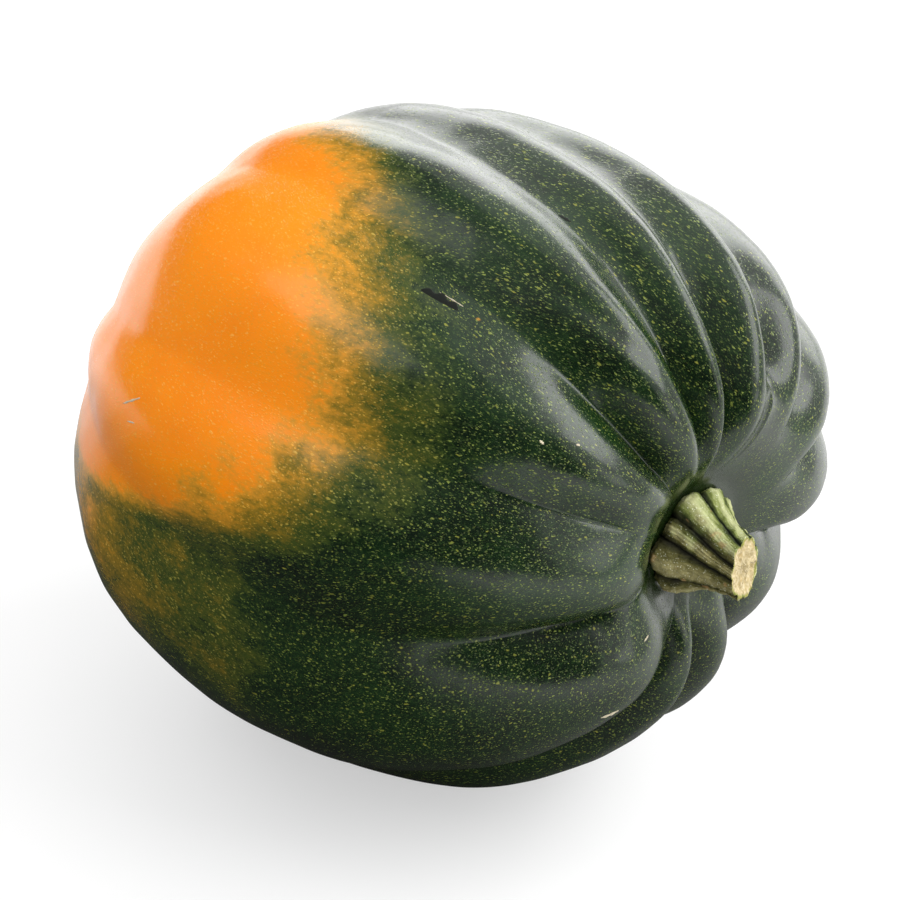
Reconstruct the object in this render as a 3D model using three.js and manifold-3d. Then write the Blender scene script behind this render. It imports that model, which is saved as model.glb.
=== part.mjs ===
// An acorn squash lying on its side, with the cut stalk left on. Millimetres, +Z up.
// +X runs from the blossom end to the stem end. The origin is on the ground, under the middle of
// the whole thing's box. Round the fruit's axis, an angle of 0 is +Y and 90 degrees is +Z.
import * as THREE from "three";
import { mergeVertices } from "three/addons/utils/BufferGeometryUtils.js";
import Module from "manifold-3d";

const wasm = await Module();
wasm.setup();

// ---- The fruit's main form: an ellipsoid of revolution, before the ribs are pressed in
const HALF_LENGTH = 70;
const RADIUS = 63;
const SHOULDER_SWELL = 0.035;
const TIP_LENGTH = 4;
const TIP_SPREAD = 0.3;

// ---- The hollow round the stem: a level floor, and a wall that eases out of it and slopes away.
// The wall runs out furthest on the side at WALL_SIDE, in degrees, and is steep on the other.
const HOLLOW_DEPTH = 13.4;
const FLOOR_RADIUS = 10.3;
const FLOOR_ANGLE = 0.165;
const WALL_RUN = 12.6;
const WALL_POWER = 1.4;
const WALL_SIDE = 10;
const WALL_UNEVENNESS = 0.3;

// ---- How the fruit grew out of true
const STEM_SHIFT = { y: 7, z: 7.5, power: 2 };
const HOLLOW_SHIFT = { y: -1.5, z: 3.2, power: 6 };
const BELLY_SHIFT = { y: -2, z: 1 };
const SHOULDER_LEAN = 2.7;

// ---- The ribs. A groove's place is its angle round the fruit at the shoulder, in degrees, and its
// wind is how far it turns on the way to the blossom end. Its crease is how deep it is near the
// stem, as a share of CREASE_DEPTH, and it starts at this theta. The crest is how full the rib
// beyond it stands, where 1 reaches the main form, and a skew over 1 moves that rib's ridge
// towards the next groove.
const RIBS = [
  { groove: 184, wind: -38, crease: 1.1, start: 0.17, crest: 1.0, skew: 1.0 },
  { groove: 148, wind: 0, crease: 0.25, start: 0.25, crest: 0.9, skew: 1.0 },
  { groove: 118, wind: -24, crease: 1.0, start: 0.17, crest: 1.0, skew: 1.2 },
  { groove: 94, wind: -24, crease: 1.0, start: 0.17, crest: 0.85, skew: 1.35 },
  { groove: 78, wind: -34, crease: 1.2, start: 0.17, crest: 1.05, skew: 1.4 },
  { groove: 60, wind: -20, crease: 1.0, start: 0.45, crest: 1.0, skew: 1.35 },
  { groove: 38, wind: -28, crease: 0.9, start: 0.35, crest: 1.1, skew: 1.2 },
  { groove: 14, wind: 5, crease: 0.8, start: 0.3, crest: 1.0, skew: 1.0 },
  { groove: -17, wind: 18, crease: 1.0, start: 0.17, crest: 0.7, skew: 1.0 },
  { groove: -62, wind: -25, crease: 1.0, start: 0.17, crest: 0.95, skew: 1.0 },
  { groove: -88, wind: -5, crease: 1.0, start: 0.17, crest: 1.15, skew: 1.0 },
  { groove: -121, wind: -60, crease: 1.0, start: 0.17, crest: 1.4, skew: 1.0 },
];
const SHOULDER_ANGLE = 1;

// ---- The grooves. They are deepest just outside the hollow, and grow shallower and softer on the
// way to the blossom end. A power under 1 makes a sharp crease, and one over 1 a soft valley.
const CREASE_DEPTH = 5;
const CREASE_PLACE = 0.48;
const CREASE_SPREAD = 0.48;
const VALLEY_DEPTH = 3;
const GROOVE_RUN_IN = 0.25;
const SKEW_FADE = { until: 2.4, over: 1 };
const BLOSSOM_FADE = { amount: 0.5, from: 1.4, over: 1.2 };
const CREASE_POWER = 0.75;
const VALLEY_POWER = 1.5;
const SOFTENING = { from: 0.4, over: 0.8 };

// ---- How much the ground flattens the two ribs that it lies on
const FLAT_DEPTH = 0.8;

// ---- The stalk. Its furrows are given by their angles round the foot, in degrees, and its ridges
// stand between them. The twist is how far they turn on the way up to the cut.
const STALK_LENGTH = 12.9;
const STALK_GAP = 0.3;
const STALK_FOOT_RADIUS = 10.2;
const STALK_NECK_RADIUS = 5.4;
const STALK_FURROWS = [330, 285, 240, 205, 160, 132, 86, 42, 10];
const FURROW_DEPTH = 1.5;
const FURROW_POWER = 0.7;
const STALK_TWIST = 14;
const CUT_SLANT = { y: 0.35, z: 0.25 };

// ---- Finishes
const SKIN_FINISH = { color: 0x24382a, roughness: 0.4 };
const BARK_FINISH = { color: 0x6f7440, roughness: 0.75 };

// ---- Mesh fineness
const COLUMNS_PER_RIB = 8;
const BODY_ROWS = 38;
const CROWDING_AT_STEM = 0.6;
const COLUMNS_PER_RIDGE = 5;
const STALK_ROWS = 10;

/** A soft step from 0 to 1 as t goes from 0 to 1. */
function smoothStep(t) {
  const clamped = THREE.MathUtils.clamp(t, 0, 1);
  return clamped * clamped * (3 - 2 * clamped);
}

/** How far the hollow is sunk at radius r and angle phi. */
function hollowDepth(r, phi) {
  const side = Math.cos(phi - THREE.MathUtils.degToRad(WALL_SIDE));
  const pastFloor = Math.max(r - FLOOR_RADIUS, 0) / (WALL_RUN * (1 + WALL_UNEVENNESS * side));
  return HOLLOW_DEPTH * Math.exp(-(pastFloor ** WALL_POWER));
}

/** The main form's outline: how far along the axis (x) and how far out (r) it is at phi and angle
 *  theta, which goes from 0 at the stem's pole to pi at the blossom's. */
function outline(theta, phi) {
  const sine = Math.sin(theta);
  const cosine = Math.cos(theta);
  const r = RADIUS * sine * (1 + SHOULDER_SWELL * 4 * (sine * cosine) ** 2);
  const nearStem = ((1 + cosine) / 2) ** 2;
  const tip = TIP_LENGTH * Math.exp(-(((Math.PI - theta) / TIP_SPREAD) ** 2));
  return { x: HALF_LENGTH * cosine - nearStem * hollowDepth(r, phi) - tip, r };
}

/** How deep the groove with this number, which may run one past the last, is at theta. */
function grooveDepth(number, theta) {
  const { crease, start } = RIBS[number % RIBS.length];
  const nearStem = crease * CREASE_DEPTH * Math.exp(-(((theta - CREASE_PLACE) / CREASE_SPREAD) ** 2));
  const fade = 1 - BLOSSOM_FADE.amount * smoothStep((theta - BLOSSOM_FADE.from) / BLOSSOM_FADE.over);
  const valley = VALLEY_DEPTH * Math.sqrt(Math.sin(theta)) * fade;
  return (nearStem + valley) * smoothStep((theta - start) / GROOVE_RUN_IN);
}

/** How far a shift of the stem's end moves a point at theta: all the way at the stem's pole. */
function shareOfShift(shift, theta) {
  return ((1 + Math.cos(theta)) / 2) ** shift.power;
}

/** The angle round the fruit of the groove with this number, which may run one past the last. */
function grooveAngle(number, theta) {
  const rib = RIBS[number % RIBS.length];
  const turns = Math.floor(number / RIBS.length);
  const wound = (rib.wind * (theta - SHOULDER_ANGLE)) / Math.PI;
  return THREE.MathUtils.degToRad(rib.groove + wound - 360 * turns);
}

/** A point of the skin, at theta and phi, raised by height square to the main form. */
function skinPoint(theta, phi, height) {
  const step = 1e-4;
  const here = outline(theta, phi);
  const before = outline(theta - step, phi);
  const after = outline(theta + step, phi);
  const alongX = after.x - before.x;
  const alongR = after.r - before.r;
  const length = Math.hypot(alongX, alongR);
  const belly = (BELLY_SHIFT.y * Math.cos(phi) + BELLY_SHIFT.z * Math.sin(phi)) / RADIUS;
  const r = (here.r - (alongX / length) * height) * (1 + belly);
  const lean = SHOULDER_LEAN * Math.sin(phi) * (r / RADIUS) * Math.max(Math.cos(theta), 0);
  const stem = shareOfShift(STEM_SHIFT, theta);
  const hollow = shareOfShift(HOLLOW_SHIFT, theta);
  return new THREE.Vector3(
    here.x + (alongR / length) * height + lean,
    r * Math.cos(phi) + STEM_SHIFT.y * stem + HOLLOW_SHIFT.y * hollow,
    r * Math.sin(phi) + STEM_SHIFT.z * stem + HOLLOW_SHIFT.z * hollow,
  );
}

/** The skin at theta, a share of the way across one rib: its groove is 0, the next groove is 1. */
function ribPoint(theta, number, share) {
  const near = grooveAngle(number, theta);
  const far = grooveAngle(number + 1, theta);
  const softness = smoothStep((theta - SOFTENING.from) / SOFTENING.over);
  const power = THREE.MathUtils.lerp(CREASE_POWER, VALLEY_POWER, softness);
  const { crest, skew } = RIBS[number];
  const skewed = 1 + (skew - 1) * smoothStep((SKEW_FADE.until - theta) / SKEW_FADE.over);
  const dome = crest * Math.sin(Math.PI * share ** skewed) ** power;
  const depth = THREE.MathUtils.lerp(grooveDepth(number, theta), grooveDepth(number + 1, theta), share);
  return skinPoint(theta, THREE.MathUtils.lerp(near, far, share), depth * (dome - 1));
}

/** Joins rings of points into one closed body, with a middle point closing each end. */
function closedBody(rings, firstMiddle, lastMiddle) {
  const columns = rings[0].length;
  const points = [firstMiddle, ...rings.flat(), lastMiddle];
  const last = points.length - 1;
  const triangles = [];
  for (let column = 0; column < columns; column++) {
    const next = (column + 1) % columns;
    triangles.push(0, 1 + next, 1 + column);
    for (let row = 0; row + 1 < rings.length; row++) {
      const here = 1 + row * columns;
      const below = here + columns;
      triangles.push(here + column, below + next, below + column);
      triangles.push(here + column, here + next, below + next);
    }
    const end = 1 + (rings.length - 1) * columns;
    triangles.push(last, end + column, end + next);
  }
  const geometry = new THREE.BufferGeometry();
  geometry.setAttribute("position", new THREE.Float32BufferAttribute(points.flatMap((p) => [...p]), 3));
  geometry.setIndex(triangles);
  return geometry;
}

/** The whole fruit, in its own frame, with rings closer together round the stem. */
function fruitGeometry() {
  const rings = [];
  for (let row = 0; row < BODY_ROWS; row++) {
    const share = row / BODY_ROWS;
    const theta = FLOOR_ANGLE + (Math.PI - FLOOR_ANGLE) * share * (1 - CROWDING_AT_STEM * (1 - share));
    const ring = [];
    for (let number = 0; number < RIBS.length; number++) {
      for (let column = 0; column < COLUMNS_PER_RIB; column++) {
        ring.push(ribPoint(theta, number, column / COLUMNS_PER_RIB));
      }
    }
    rings.push(ring);
  }
  return closedBody(rings, floorMiddle(), skinPoint(Math.PI, 0, 0));
}

/** The middle of the flat floor that the stalk stands on. */
function floorMiddle() {
  return skinPoint(FLOOR_ANGLE, 0, 0).add(skinPoint(FLOOR_ANGLE, Math.PI, 0)).multiplyScalar(0.5);
}

/** The stalk: a tapering post with a flared foot, ridges between its furrows and a slanting cut. */
function stalkGeometry() {
  const middle = floorMiddle();
  const leanRate = (SHOULDER_LEAN * Math.cos(FLOOR_ANGLE)) / RADIUS;

  function stalkPoint(along, angle, r) {
    const phi = THREE.MathUtils.degToRad(angle + STALK_TWIST * along);
    const y = r * Math.cos(phi);
    const z = r * Math.sin(phi);
    const length = STALK_LENGTH - CUT_SLANT.y * y - CUT_SLANT.z * z;
    const x = STALK_GAP + leanRate * z + along * length;
    return new THREE.Vector3(middle.x + x, middle.y + y, middle.z + z);
  }

  const rings = [];
  for (let row = STALK_ROWS; row >= 0; row--) {
    const along = row / STALK_ROWS;
    const narrowing = 1 - (1 - along) ** 2;
    const girth = THREE.MathUtils.lerp(STALK_FOOT_RADIUS, STALK_NECK_RADIUS, narrowing);
    const ring = [];
    for (let number = 0; number < STALK_FURROWS.length; number++) {
      const near = STALK_FURROWS[number];
      const far = STALK_FURROWS[number + 1] ?? STALK_FURROWS[0] - 360;
      for (let column = 0; column < COLUMNS_PER_RIDGE; column++) {
        const share = column / COLUMNS_PER_RIDGE;
        const dip = FURROW_DEPTH * (1 - Math.sin(Math.PI * share) ** FURROW_POWER);
        ring.push(stalkPoint(along, THREE.MathUtils.lerp(near, far, share), girth - dip));
      }
    }
    rings.push(ring);
  }
  return closedBody(rings, stalkPoint(1, 0, 0), stalkPoint(0, 0, 0));
}

/** A closed geometry as a solid that can be cut. */
function toSolid(geometry) {
  const bare = geometry.clone();
  bare.deleteAttribute("normal");
  bare.deleteAttribute("uv");
  const merged = mergeVertices(bare);
  return new wasm.Manifold(new wasm.Mesh({
    numProp: 3,
    vertProperties: new Float32Array(merged.attributes.position.array),
    triVerts: new Uint32Array(merged.index.array),
  }));
}

/** A cut solid as a geometry again. */
function toGeometry(solid) {
  const { vertProperties, triVerts } = solid.getMesh();
  const geometry = new THREE.BufferGeometry();
  geometry.setAttribute("position", new THREE.BufferAttribute(vertProperties, 3));
  geometry.setIndex(new THREE.BufferAttribute(triVerts, 1));
  return geometry;
}

/** Takes away whatever reaches below the ground, which leaves small flats on the lowest ribs. */
function flattenedOnGround(geometry) {
  const side = 4 * HALF_LENGTH;
  const ground = new THREE.BoxGeometry(side, side, side).translate(0, 0, -side / 2);
  return toGeometry(toSolid(geometry).subtract(toSolid(ground)));
}

/** A named piece with its own material. */
function piece(name, geometry, finish) {
  geometry.computeVertexNormals();
  const mesh = new THREE.Mesh(geometry, new THREE.MeshStandardMaterial({ ...finish, metalness: 0 }));
  mesh.name = name;
  return mesh;
}

const fruit = fruitGeometry();
const stalk = stalkGeometry();
fruit.computeBoundingBox();
stalk.computeBoundingBox();
const box = fruit.boundingBox.clone().union(stalk.boundingBox);
const middle = box.getCenter(new THREE.Vector3());
const drop = -fruit.boundingBox.min.z - FLAT_DEPTH;
fruit.translate(-middle.x, -middle.y, drop);
stalk.translate(-middle.x, -middle.y, drop);

const squash = new THREE.Group();
squash.add(piece("squash_body", flattenedOnGround(fruit), SKIN_FINISH));
squash.add(piece("stem", stalk, BARK_FINISH));

export default squash;
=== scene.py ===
# %% [markdown]
# # An acorn squash with a ripe orange side
#
# This is one grown thing: a fruit with twelve ribs and the stub of the stalk that it hung by. The
# shape of both comes from formulas on a grid. The colour comes from a shader recipe that puts
# green skin, pale flecks and an orange ripening patch where they belong on the fruit.

# %% Load the frame
import math

import bpy
import numpy as np
from mathutils import Matrix, Vector


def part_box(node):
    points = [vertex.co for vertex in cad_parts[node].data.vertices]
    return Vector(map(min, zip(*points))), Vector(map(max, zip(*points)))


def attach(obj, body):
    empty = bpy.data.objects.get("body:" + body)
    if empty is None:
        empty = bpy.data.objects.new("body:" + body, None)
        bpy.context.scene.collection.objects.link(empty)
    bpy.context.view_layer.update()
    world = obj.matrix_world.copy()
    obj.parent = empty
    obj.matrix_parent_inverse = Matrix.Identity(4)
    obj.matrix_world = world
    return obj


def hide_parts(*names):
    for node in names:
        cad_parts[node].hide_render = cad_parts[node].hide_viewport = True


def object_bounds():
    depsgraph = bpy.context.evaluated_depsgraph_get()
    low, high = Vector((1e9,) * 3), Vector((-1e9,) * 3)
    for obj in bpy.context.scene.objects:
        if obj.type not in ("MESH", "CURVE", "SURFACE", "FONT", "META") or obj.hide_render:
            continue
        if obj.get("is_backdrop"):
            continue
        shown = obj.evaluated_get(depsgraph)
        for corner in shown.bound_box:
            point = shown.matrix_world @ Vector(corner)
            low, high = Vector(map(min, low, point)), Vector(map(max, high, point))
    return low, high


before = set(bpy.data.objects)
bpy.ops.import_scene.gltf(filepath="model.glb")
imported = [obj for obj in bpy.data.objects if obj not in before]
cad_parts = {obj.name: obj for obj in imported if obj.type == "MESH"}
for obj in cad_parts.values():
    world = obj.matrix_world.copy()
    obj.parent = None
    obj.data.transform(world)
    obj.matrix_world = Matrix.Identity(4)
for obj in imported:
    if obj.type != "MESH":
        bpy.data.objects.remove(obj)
CAD_LOW, CAD_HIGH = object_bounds()
CAD_SIZE = CAD_HIGH - CAD_LOW
CAD_MIDDLE = (CAD_LOW + CAD_HIGH) / 2
print("the frame's pieces:", sorted(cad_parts))
print("its box:", [round(1000 * side, 1) for side in CAD_SIZE], "mm")

# %% [markdown]
# ## The camera
#
# The squash lies along X with its stalk towards +X. The camera stands in front of it, towards the
# stalk end, and looks down on it with a long lens, as for a catalogue picture. A long lens from
# well back keeps the near ribs from swelling. The camera is tipped a few degrees about its own
# line of sight. Its place is given in degrees round the middle of the frame's box, and its
# distance in lengths of the squash, so that it follows the frame.

# %% Camera
CAMERA_ROUND = 43.9     # degrees, from straight in front towards the stalk end
CAMERA_ABOVE = 32.6
CAMERA_ROLL = 3.9
CAMERA_AWAY = 5.65      # lengths of the squash
LENS = 178.5            # mm, on the usual 36 mm film
AIM_SHIFT = Vector((0.0104, 0.0012, -0.0118))    # shares of the box, from its middle


def direction(azimuth, elevation):
    """A unit vector: azimuth goes from +X towards +Y, elevation is above the ground, in degrees."""
    round_, above = math.radians(azimuth), math.radians(elevation)
    level = math.cos(above)
    return Vector((math.cos(round_) * level, math.sin(round_) * level, math.sin(above)))


back = direction(CAMERA_ROUND - 90, CAMERA_ABOVE)
right = Vector((0, 0, 1)).cross(back).normalized()
roll = Matrix.Rotation(math.radians(CAMERA_ROLL), 3, back)
right = roll @ right
up = back.cross(right)
aim = CAD_MIDDLE + Vector(a * b for a, b in zip(AIM_SHIFT, CAD_SIZE))

camera = bpy.data.objects.new("camera", bpy.data.cameras.new("camera"))
camera.data.lens = LENS
camera.matrix_world = Matrix.Translation(aim + back * CAMERA_AWAY * CAD_SIZE.x) @ Matrix(
    (right, up, back)).transposed().to_4x4()
bpy.context.scene.collection.objects.link(camera)
bpy.context.scene.camera = camera
bpy.context.scene.view_settings.view_transform = "Standard"
print("camera at", [round(c, 3) for c in camera.location])

# %% [markdown]
# ## Writing shader recipes as sums
#
# A shader is a graph of nodes, and building one link by link is hard to read. Here one small
# class wraps a socket, so that `1 - mask` or `noise * 0.3 + edge` adds the Math nodes itself. The
# one method `node` makes any other node: its settings are set first, and then its inputs.

# %% Wires and paints
class Wire:
    """An output socket that sums can be written with. Every sum adds a Math node to the tree."""

    tree = None     # the node tree of the material that is being written

    def __init__(self, socket):
        self.socket = socket

    @classmethod
    def node(cls, kind, settings=None, inputs=None, output=0):
        """Adds a node of this kind, and gives back one of its outputs, if it has any."""
        made = cls.tree.nodes.new(kind)
        for name, value in (settings or {}).items():
            if name == "stops":
                fill_ramp(made.color_ramp, value)
            else:
                setattr(made, name, value)
        for name, value in (inputs or {}).items():
            if isinstance(value, Wire):
                cls.tree.links.new(value.socket, made.inputs[name])
            else:
                made.inputs[name].default_value = value
        return cls(made.outputs[output]) if len(made.outputs) else None

    @classmethod
    def math(cls, operation, *values):
        """One Math node on values or wires."""
        return cls.node("ShaderNodeMath", {"operation": operation}, dict(enumerate(values)))

    def __add__(self, other):
        return Wire.math("ADD", self, other)

    def __sub__(self, other):
        return Wire.math("SUBTRACT", self, other)

    def __rsub__(self, other):
        return Wire.math("SUBTRACT", other, self)

    def __mul__(self, other):
        return Wire.math("MULTIPLY", self, other)

    __radd__ = __add__
    __rmul__ = __mul__


def fill_ramp(ramp, stops):
    """Gives a colour ramp its stops, each a place from 0 to 1 and a colour."""
    while len(ramp.elements) < len(stops):
        ramp.elements.new(1.0)
    for element, (place, colour) in zip(ramp.elements, stops):
        element.position = place
        element.color = colour


def paint(red, green, blue):
    """A colour from the 0 to 255 numbers of a paint chart, as the linear light that shaders use."""
    chart = [red / 255, green / 255, blue / 255]
    return (*(c / 12.92 if c <= 0.04045 else ((c + 0.055) / 1.055) ** 2.4 for c in chart), 1.0)


def blended(share, under, over):
    """The colour `under`, covered by the colour `over` as far as the share says."""
    return Wire.node("ShaderNodeMix", {"data_type": "RGBA"}, {0: share, 6: under, 7: over}, 2)


def between(value, low, high):
    """A soft step: 0 below low, 1 above high, and a smooth rise from one to the other."""
    return Wire.node("ShaderNodeMapRange", {"interpolation_type": "SMOOTHSTEP"},
                     {"Value": value, "From Min": low, "From Max": high})


def noise(place, size, detail=2.0, roughness=0.5):
    """Cloudy noise about 0, from about -0.5 to 0.5, whose blotches are about `size` across."""
    return Wire.node("ShaderNodeTexNoise", {"noise_dimensions": "3D"},
                     {"Vector": place, "Scale": 1 / size, "Detail": detail, "Roughness": roughness}) - 0.5


def attribute(name, output="Fac"):
    """A number, or a vector, that the mesh keeps at each of its points."""
    return Wire.node("ShaderNodeAttribute", {"attribute_name": name}, output=output)


def new_material(name):
    """An empty material whose tree the next wires are added to."""
    made = bpy.data.materials.new(name)
    made.use_nodes = True
    made.node_tree.nodes.clear()
    Wire.tree = made.node_tree
    return made


def finish_material(surface):
    """Ends the recipe: this shader is the surface."""
    Wire.node("ShaderNodeOutputMaterial", inputs={"Surface": surface})


print("wires, paints and soft steps are ready")

# %% [markdown]
# ## The table
#
# The squash lies on a plain pale table, which keeps its soft shadow. A dark glossy fruit mirrors
# the table round it, and a white table all round would hide its colour under a grey veil. So the
# skin sees the table with light and shade painted on it: white as painted light on two sides,
# towards the key light and behind the fruit, and dark as painted shade everywhere else. Only the
# skin sees this painting. To the camera the table is pale all round.

# %% Table
TABLE_SIDE = 60 * CAD_SIZE.x
TABLE_DROP = 0.00002
# painted light: the sides of the table that stay white to the skin, where the lamps would light it
LIT_SIDES = (25, 134)           # azimuths in degrees, towards which the table stays white
LIT_FROM, LIT_FULL = 0.1, 1.2   # where the white begins and where it is full, in lengths of the squash


def mesh_object(name, points, faces, material):
    """A new object at the origin, from points in metres and faces that count them."""
    mesh = bpy.data.meshes.new(name)
    mesh.from_pydata(points.tolist(), [], faces)
    mesh.materials.append(material)
    made = bpy.data.objects.new(name, mesh)
    bpy.context.scene.collection.objects.link(made)
    return made


def rays(*kinds):
    """1 for light paths of these kinds, and 0 for the rest."""
    found = [Wire.node("ShaderNodeLightPath", output=f"Is {kind} Ray") for kind in kinds]
    return Wire.math("MINIMUM", sum(found[1:], found[0]), 1.0)


def table_paint():
    """White for the camera, and for the skin only on the lit sides, as painted light. The rest is painted
    shade.
    """
    made = new_material("table_paint")
    here = Wire.node("ShaderNodeTexCoord", output="Object")
    dark = 1
    # painted light: white towards the key light and behind the fruit, painted shade everywhere else
    for azimuth in LIT_SIDES:
        sides = {0: here, 1: tuple(direction(azimuth, 0))}
        reach = Wire.node("ShaderNodeVectorMath", {"operation": "DOT_PRODUCT"}, sides, "Value")
        dark = (1 - between(reach, LIT_FROM * CAD_SIZE.x, LIT_FULL * CAD_SIZE.x)) * dark
    lit = 1 - dark
    white = Wire.node("ShaderNodeBsdfDiffuse", inputs={"Color": paint(250, 250, 250)})
    # painted shade: the dark table that only the skin sees, standing for the floor in the fruit's shade
    painted_table_shade = Wire.node("ShaderNodeBsdfDiffuse", inputs={"Color": paint(72, 72, 72)})
    glow = Wire.node("ShaderNodeEmission", inputs={"Color": paint(255, 255, 255), "Strength": 1.0})
    white = Wire.node("ShaderNodeMixShader", inputs={0: rays("Camera") * 0.5, 1: white, 2: glow})
    seen = rays("Camera", "Transmission") + lit * rays("Glossy", "Diffuse")
    finish_material(Wire.node("ShaderNodeMixShader", inputs={0: seen, 1: painted_table_shade, 2: white}))
    return made


corners = np.array([(-1, -1), (1, -1), (1, 1), (-1, 1)]) * TABLE_SIDE / 2
corners = np.column_stack([corners, np.full(4, -TABLE_DROP)])
table = mesh_object("table", corners, [(0, 1, 2, 3)], table_paint())
table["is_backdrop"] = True
print("table", round(TABLE_SIDE, 2), "m across")

# %% [markdown]
# ## The studio light
#
# A glossy dark fruit shows its lamps more than its colour, so the lamps are placed for their
# reflections. A broad softbox on the right draws the highlights on the shoulders, and a small low
# one at the stem end those on the lower ribs. A low one behind draws the bright top edge, and one
# on the left a soft sheen on the orange side. Each lamp's strength is given as how bright its face
# is, where white paper in full light is 1. The room is white, apart from a dim dome on the
# camera's side that only the skin's gloss sees.

# %% Lamps and room
LAMP_AWAY = 7 * CAD_SIZE.x


def softbox(name, azimuth, elevation, wide, high, brightness):
    """A lamp that faces the squash. Wide and high are the angles that it covers, in degrees. Its
    power is its brightness times pi times its area, which makes its face that bright."""
    across, tall = (2 * LAMP_AWAY * math.tan(math.radians(a) / 2) for a in (wide, high))
    lamp = bpy.data.lights.new(name, "AREA")
    lamp.shape = "RECTANGLE"
    lamp.size, lamp.size_y = across, tall
    lamp.energy = brightness * math.pi * across * tall
    made = bpy.data.objects.new(name, lamp)
    towards = direction(azimuth, elevation)
    made.location = CAD_MIDDLE + towards * LAMP_AWAY
    made.rotation_euler = towards.to_track_quat("Z", "Y").to_euler()
    made.visible_camera = False
    bpy.context.scene.collection.objects.link(made)
    print(name, "is", round(across, 2), "by", round(tall, 2), "m,", round(lamp.energy, 1), "W")


softbox("key_softbox", 46, 45, 58, 28, 4.4)
softbox("low_softbox", 9, 13, 24, 14, 1.8)
softbox("back_softbox", 118, 15, 56, 28, 2.8)
softbox("left_softbox", -130, 50, 50, 22, 1.3)

world = bpy.data.worlds.new("studio")
bpy.context.scene.world = world
world.use_nodes = True
world.node_tree.nodes.clear()
Wire.tree = world.node_tree
background = Wire.node("ShaderNodeBackground", inputs={"Color": (1, 1, 1, 1), "Strength": 1.0})
Wire.node("ShaderNodeOutputWorld", inputs={"Surface": background})

ROOM_AWAY = 9 * CAD_SIZE.x
ROOM_ROUND, ROOM_ABOVE = (-205, -18), (0, 88)     # where the dome starts and ends, in degrees
ROOM_COLUMNS, ROOM_ROWS = 40, 20
ROOM_DIM, ROOM_PALER = 0.03, 0.42                 # how bright it is at the ground, and what the top adds


def dim_room():
    """The camera's side of the room: a part of a dome, dim below and paler overhead, that the skin
    sees and the camera doesn't. Its points are directions times its radius, and its brightness
    grows with the cube of their height."""
    azimuths = np.radians(np.linspace(*ROOM_ROUND, ROOM_COLUMNS))
    elevations = np.radians(np.linspace(*ROOM_ABOVE, ROOM_ROWS))
    a, e = np.meshgrid(azimuths, elevations)
    towards = np.stack([np.cos(a) * np.cos(e), np.sin(a) * np.cos(e), np.sin(e)], -1)
    points = towards.reshape(-1, 3) * ROOM_AWAY
    corner = (ROOM_COLUMNS * np.arange(ROOM_ROWS - 1)[:, None] + np.arange(ROOM_COLUMNS - 1)).ravel()
    faces = np.stack([corner, corner + 1, corner + ROOM_COLUMNS + 1, corner + ROOM_COLUMNS], -1).tolist()
    dim = new_material("dim_room")
    here = Wire.node("ShaderNodeTexCoord", output="Object")
    height = Wire.node("ShaderNodeSeparateXYZ", inputs={"Vector": here}, output="Z") * (1 / ROOM_AWAY)
    glow = ROOM_DIM + ROOM_PALER * height * height * height
    finish_material(Wire.node("ShaderNodeEmission", inputs={"Strength": glow}))
    room = mesh_object("dim_room", points, faces, dim)
    room.visible_camera = False
    room.visible_diffuse = False
    room.visible_shadow = False
    room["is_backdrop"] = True


dim_room()

# %% [markdown]
# ## The fruit's main form
#
# Before its ribs are pressed in, the fruit is a round body on a long axis. It has a hollow at the
# stem end, a small point at the blossom end, and it grew a little out of true. A point of the
# skin has two coordinates: theta runs from 0 at the stem's pole to pi at the blossom's pole, and
# phi runs round the axis, from 0 at +Y through a quarter turn at +Z. Lengths are in millimetres
# here, and are fitted to the frame's box further down.

# %% Main form
HALF_LENGTH = 70.0
RADIUS = 63.0
SHOULDER_SWELL = 0.035
TIP_LENGTH, TIP_SPREAD = 4.0, 0.3
HOLLOW_DEPTH, FLOOR_RADIUS = 13.4, 10.3
WALL_RUN, WALL_POWER = 12.6, 1.4
WALL_SIDE, WALL_UNEVENNESS = math.radians(10), 0.3
FLOOR_ANGLE = 0.165
STEM_SHIFT = (7.0, 7.5, 2)      # how far the stem end leans off the axis, along Y and Z, and a power
HOLLOW_SHIFT = (-1.5, 3.2, 6)   # the same for the hollow alone: a high power keeps to the stem
BELLY_SHIFT = (-2.0, 1.0)
SHOULDER_LEAN = 2.7


def soft(t):
    """A soft step from 0 to 1 as t goes from 0 to 1: three t squared less two t cubed."""
    t = np.clip(t, 0, 1)
    return t * t * (3 - 2 * t)


def bell(t):
    """A bell curve, 1 at 0 and near 0 beyond 2."""
    return np.exp(-t * t)


def hollow_depth(r, phi):
    """How far the hollow is sunk: level as far as the floor's radius, and then a wall that runs out
    as a power of e, over a longer way on one side than on the other."""
    run = WALL_RUN * (1 + WALL_UNEVENNESS * np.cos(phi - WALL_SIDE))
    return HOLLOW_DEPTH * np.exp(-(np.clip(r - FLOOR_RADIUS, 0, None) / run) ** WALL_POWER)


def outline(theta, phi):
    """How far along the axis and how far out the main form is: an ellipse, less the hollow round
    the stem, and with the point at the blossom end."""
    sine, cosine = np.sin(theta), np.cos(theta)
    r = RADIUS * sine * (1 + SHOULDER_SWELL * 4 * (sine * cosine) ** 2)
    near_stem = ((1 + cosine) / 2) ** 2
    tip = TIP_LENGTH * bell((math.pi - theta) / TIP_SPREAD)
    return HALF_LENGTH * cosine - near_stem * hollow_depth(r, phi) - tip, r


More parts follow.
